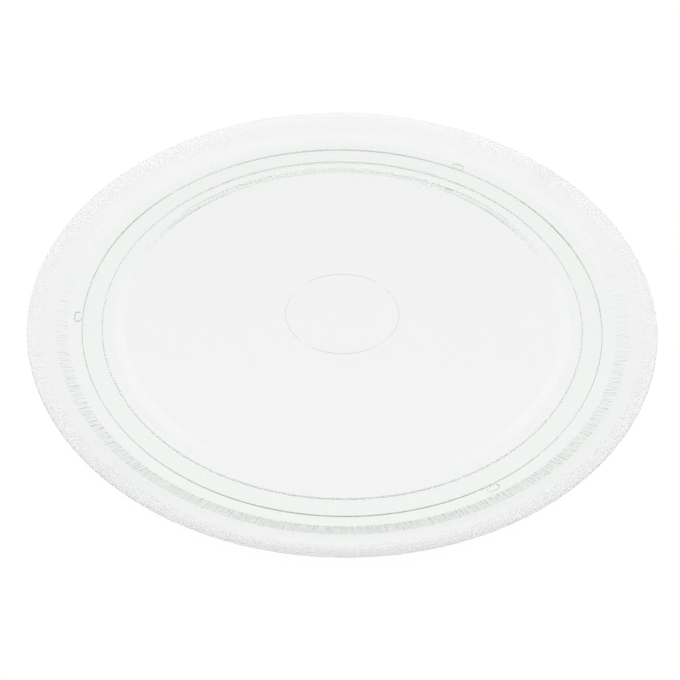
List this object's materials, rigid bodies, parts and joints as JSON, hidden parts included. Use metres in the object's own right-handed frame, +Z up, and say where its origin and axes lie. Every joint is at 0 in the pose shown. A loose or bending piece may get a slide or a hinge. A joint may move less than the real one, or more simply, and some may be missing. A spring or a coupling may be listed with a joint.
{
  "type": "microwave turntable plate",
  "caption": "Round clear glass turntable plate with a flat floor, a gently raised rim and a low foot ring around the roller recess underneath.",
  "frame": {"origin": "on the plate's axis at the height of the foot ring's lower face, which stands on the floor", "axes": "+Z up along the plate's axis, +X to the right and +Y away from the viewer as the picture shows the plate"},
  "size_m": [0.245, 0.245, 0.009],
  "materials": {
    "clear_glass": "pressed, clear and polished"
  },
  "bodies": {
    "root": {"glass_plate": "clear_glass"}
  },
  "joints": []
}
